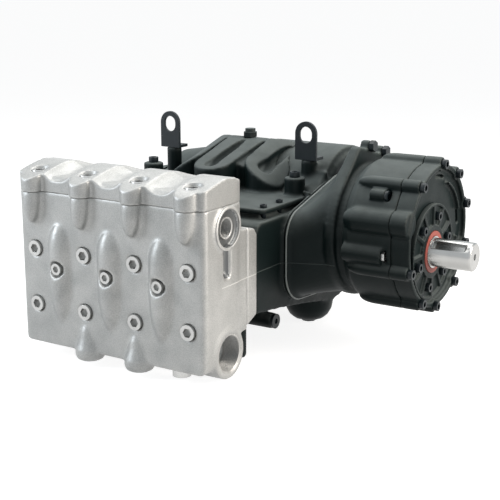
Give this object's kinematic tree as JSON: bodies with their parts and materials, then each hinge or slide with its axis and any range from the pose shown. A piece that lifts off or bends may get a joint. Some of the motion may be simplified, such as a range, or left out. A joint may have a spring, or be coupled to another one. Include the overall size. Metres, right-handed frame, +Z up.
{
  "type": "triplex plunger pump with side gearbox",
  "caption": "Horizontal plunger pump: silver fluid head with valve cover in front, black crankcase with lifting eyes behind, gearbox with keyed input shaft on the right.",
  "frame": {"origin": "centre of the four foot holes, on the plane of the feet", "axes": "+X along the input shaft towards its free end, -Y towards the front face of the fluid head, +Z up"},
  "size_m": [0.642, 0.5861, 0.353],
  "materials": {
    "cast_silver": "satin cast, lightly textured",
    "black_paint": "satin black paint over a casting",
    "bright_steel": "turned and ground, bright",
    "zinc_steel": "zinc-plated screws",
    "dark_steel": "dark painted steel plate",
    "seal": "red-brown rubber",
    "sight_glass": "clear plastic"
  },
  "bodies": {
    "pump": {"fluid_head": "cast_silver", "valve_cover": "cast_silver", "valve_cover_screws": "zinc_steel", "head_screws": "zinc_steel", "front_plugs": "zinc_steel", "head_bottom_plug": "zinc_steel", "discharge_blank": "zinc_steel", "suction_blank": "zinc_steel", "plunger_housing": "cast_silver", "crankcase": "black_paint", "crankcase_lid": "black_paint", "lid_screws": "dark_steel", "breather": "black_paint", "lifting_eye_left": "dark_steel", "lifting_eye_right": "dark_steel", "eye_screw_left": "dark_steel", "eye_screw_right": "dark_steel", "case_screws": "dark_steel", "oil_drain_plug": "dark_steel", "rear_cover": "black_paint", "rear_cover_screws": "dark_steel", "oil_level_glass": "sight_glass", "left_bearing_cover": "black_paint", "left_bearing_screws": "dark_steel", "gear_bell": "black_paint", "bell_screws": "dark_steel", "gearbox_housing": "black_paint", "gearbox_cover": "black_paint", "gearbox_screws": "dark_steel", "bearing_cap": "black_paint", "bearing_cap_screws": "dark_steel", "shaft_seal": "seal", "gearbox_fill_plug": "dark_steel", "gearbox_level_plug": "zinc_steel"},
    "shaft": {"input_shaft": "bright_steel"}
  },
  "joints": [
    {"name": "shaft_spin", "type": "hinge", "parent": "pump", "child": "shaft", "pos_m": [0.4, 0.052, 0.169], "axis": [1, 0, 0], "continuous": true}
  ]
}
